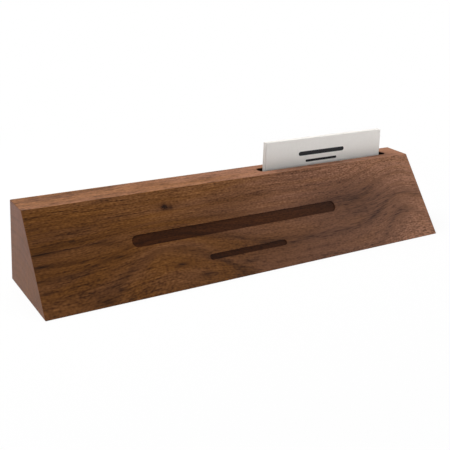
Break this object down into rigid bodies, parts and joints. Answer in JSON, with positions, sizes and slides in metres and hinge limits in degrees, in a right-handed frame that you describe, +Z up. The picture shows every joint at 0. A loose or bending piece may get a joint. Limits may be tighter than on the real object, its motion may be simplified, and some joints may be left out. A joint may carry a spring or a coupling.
{
  "type": "desk name plate",
  "caption": "Solid walnut wedge name plate for a desk, with a sloped front and a round-ended slot in its flat top that holds a stack of business cards.",
  "frame": {"origin": "on the table, under the middle of the block's base", "axes": "+X to the right along the block's length, +Y to the upright back, +Z up"},
  "size_m": [0.254, 0.0505, 0.0588],
  "materials": {
    "walnut": "satin clear lacquer",
    "card_stock": "matte"
  },
  "bodies": {
    "block": {"wedge_block": "walnut"},
    "card_1": {"card_1": "card_stock"},
    "card_2": {"card_2": "card_stock"},
    "card_3": {"card_3": "card_stock"},
    "card_4": {"card_4": "card_stock"},
    "card_5": {"card_5": "card_stock"},
    "card_6": {"card_6": "card_stock"},
    "card_7": {"card_7": "card_stock"},
    "card_8": {"card_8": "card_stock"}
  },
  "joints": [
    {"name": "card_1_lift", "type": "slide", "parent": "block", "child": "card_1", "axis": [0, 0.0349, 0.9994], "range_m": [0, 0.04]},
    {"name": "card_2_lift", "type": "slide", "parent": "block", "child": "card_2", "axis": [0, 0.0349, 0.9994], "range_m": [0, 0.04]},
    {"name": "card_3_lift", "type": "slide", "parent": "block", "child": "card_3", "axis": [0, 0.0349, 0.9994], "range_m": [0, 0.04]},
    {"name": "card_4_lift", "type": "slide", "parent": "block", "child": "card_4", "axis": [0, 0.0349, 0.9994], "range_m": [0, 0.04]},
    {"name": "card_5_lift", "type": "slide", "parent": "block", "child": "card_5", "axis": [0, 0.0349, 0.9994], "range_m": [0, 0.04]},
    {"name": "card_6_lift", "type": "slide", "parent": "block", "child": "card_6", "axis": [0, 0.0349, 0.9994], "range_m": [0, 0.04]},
    {"name": "card_7_lift", "type": "slide", "parent": "block", "child": "card_7", "axis": [0, 0.0349, 0.9994], "range_m": [0, 0.04]},
    {"name": "card_8_lift", "type": "slide", "parent": "block", "child": "card_8", "axis": [0, 0.0349, 0.9994], "range_m": [0, 0.04]}
  ]
}
